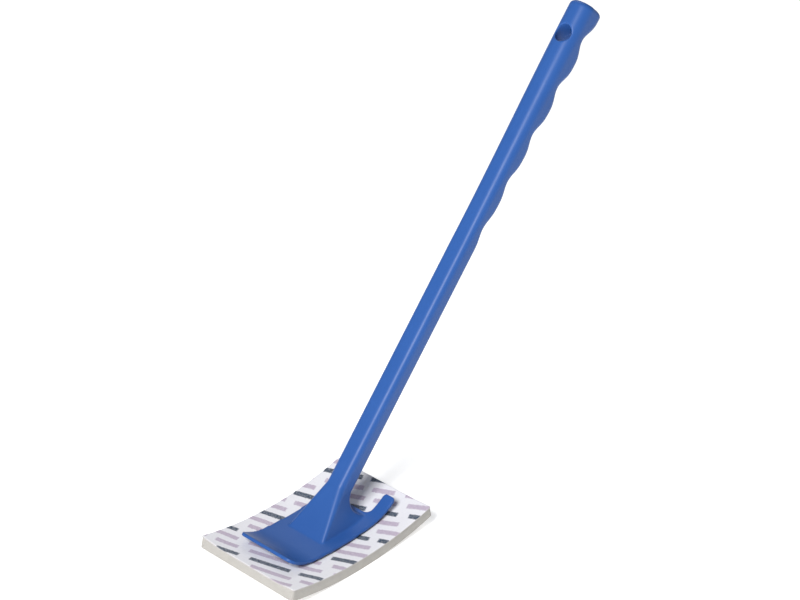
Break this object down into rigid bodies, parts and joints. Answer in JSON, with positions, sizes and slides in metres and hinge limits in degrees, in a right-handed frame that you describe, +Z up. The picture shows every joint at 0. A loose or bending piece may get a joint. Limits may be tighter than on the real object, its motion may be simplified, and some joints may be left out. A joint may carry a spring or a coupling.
{
  "type": "long-handled scrub pad tool",
  "caption": "One-piece moulded handle with a waved grip and a curved sled plate, over a rectangular foam pad with a printed loop face that peels off.",
  "frame": {"origin": "middle of the pad's scrubbing face", "axes": "+X along the pad's width, +Y along its length towards the side the handle leans to, +Z up out of the surface being scrubbed"},
  "size_m": [0.11, 0.4293, 0.3961],
  "materials": {
    "handle_plastic": "satin",
    "hook_tape": "bristly",
    "tape_adhesive": "matte",
    "printed_loop_fabric": "brushed",
    "bond_film": "matte",
    "pad_foam": "matte"
  },
  "bodies": {
    "pad": {"foam_pad": "pad_foam", "fabric_bond_film": "bond_film", "loop_fabric": "printed_loop_fabric"},
    "handle": {"handle_moulding": "handle_plastic", "front_hook_tape": "hook_tape", "left_hook_tape": "hook_tape", "right_hook_tape": "hook_tape", "front_tape_adhesive": "tape_adhesive", "left_tape_adhesive": "tape_adhesive", "right_tape_adhesive": "tape_adhesive"}
  },
  "joints": [
    {"name": "pad_peel", "type": "slide", "parent": "pad", "child": "handle", "axis": [0, 0, 1], "range_m": [0, 0.06]}
  ]
}
